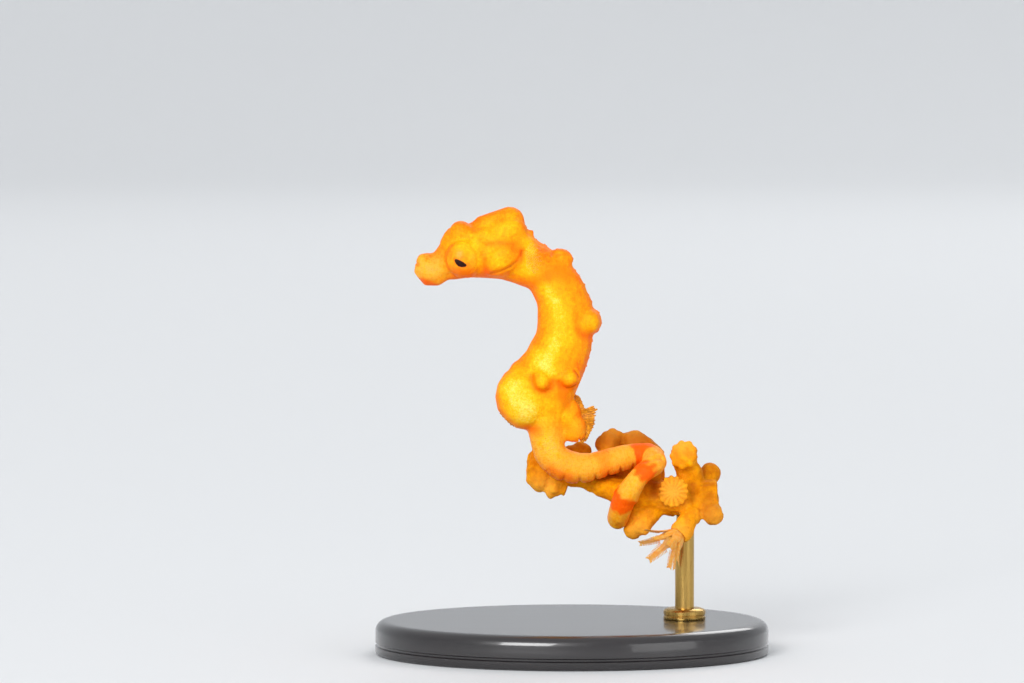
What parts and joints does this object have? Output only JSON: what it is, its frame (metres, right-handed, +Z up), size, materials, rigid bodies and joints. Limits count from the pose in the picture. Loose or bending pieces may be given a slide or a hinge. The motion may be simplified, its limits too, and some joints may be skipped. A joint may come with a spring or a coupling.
{
  "type": "pygmy seahorse model",
  "caption": "Life-size pygmy seahorse gripping a cut length of sea-fan twig with its tail, held by a rod on an oval display base.",
  "frame": {"origin": "middle of the base's underside, on the surface that the model stands on", "axes": "+Z up; the seahorse looks along -X and its left side faces -Y; +X is towards the cut end of the twig and the rod"},
  "size_m": [0.014, 0.011, 0.0159],
  "materials": {
    "skin": "soft moist skin, yellow to orange with fine pale speckles",
    "eye": "wet gloss, orange iris with a dark slanted pupil",
    "fin": "thin translucent membrane with rays",
    "coral": "grainy sea-fan rind with closed polyps",
    "base": "satin black lacquer",
    "rod": "satin polished"
  },
  "bodies": {
    "root": {"snout": "skin", "head": "skin", "neck": "skin", "trunk_upper": "skin", "trunk_lower": "skin", "tail_base": "skin", "tail_middle": "skin", "tail_bend": "skin", "tail_return": "skin", "tail_grip": "skin", "coronet": "skin", "eye_left": "eye", "eye_right": "eye", "pectoral_fin_left": "fin", "pectoral_fin_right": "fin", "dorsal_fin": "fin", "anal_fin": "fin", "perch_branch": "coral", "stand_base": "base", "stand_rod": "rod", "stand_collar": "rod"}
  },
  "joints": []
}
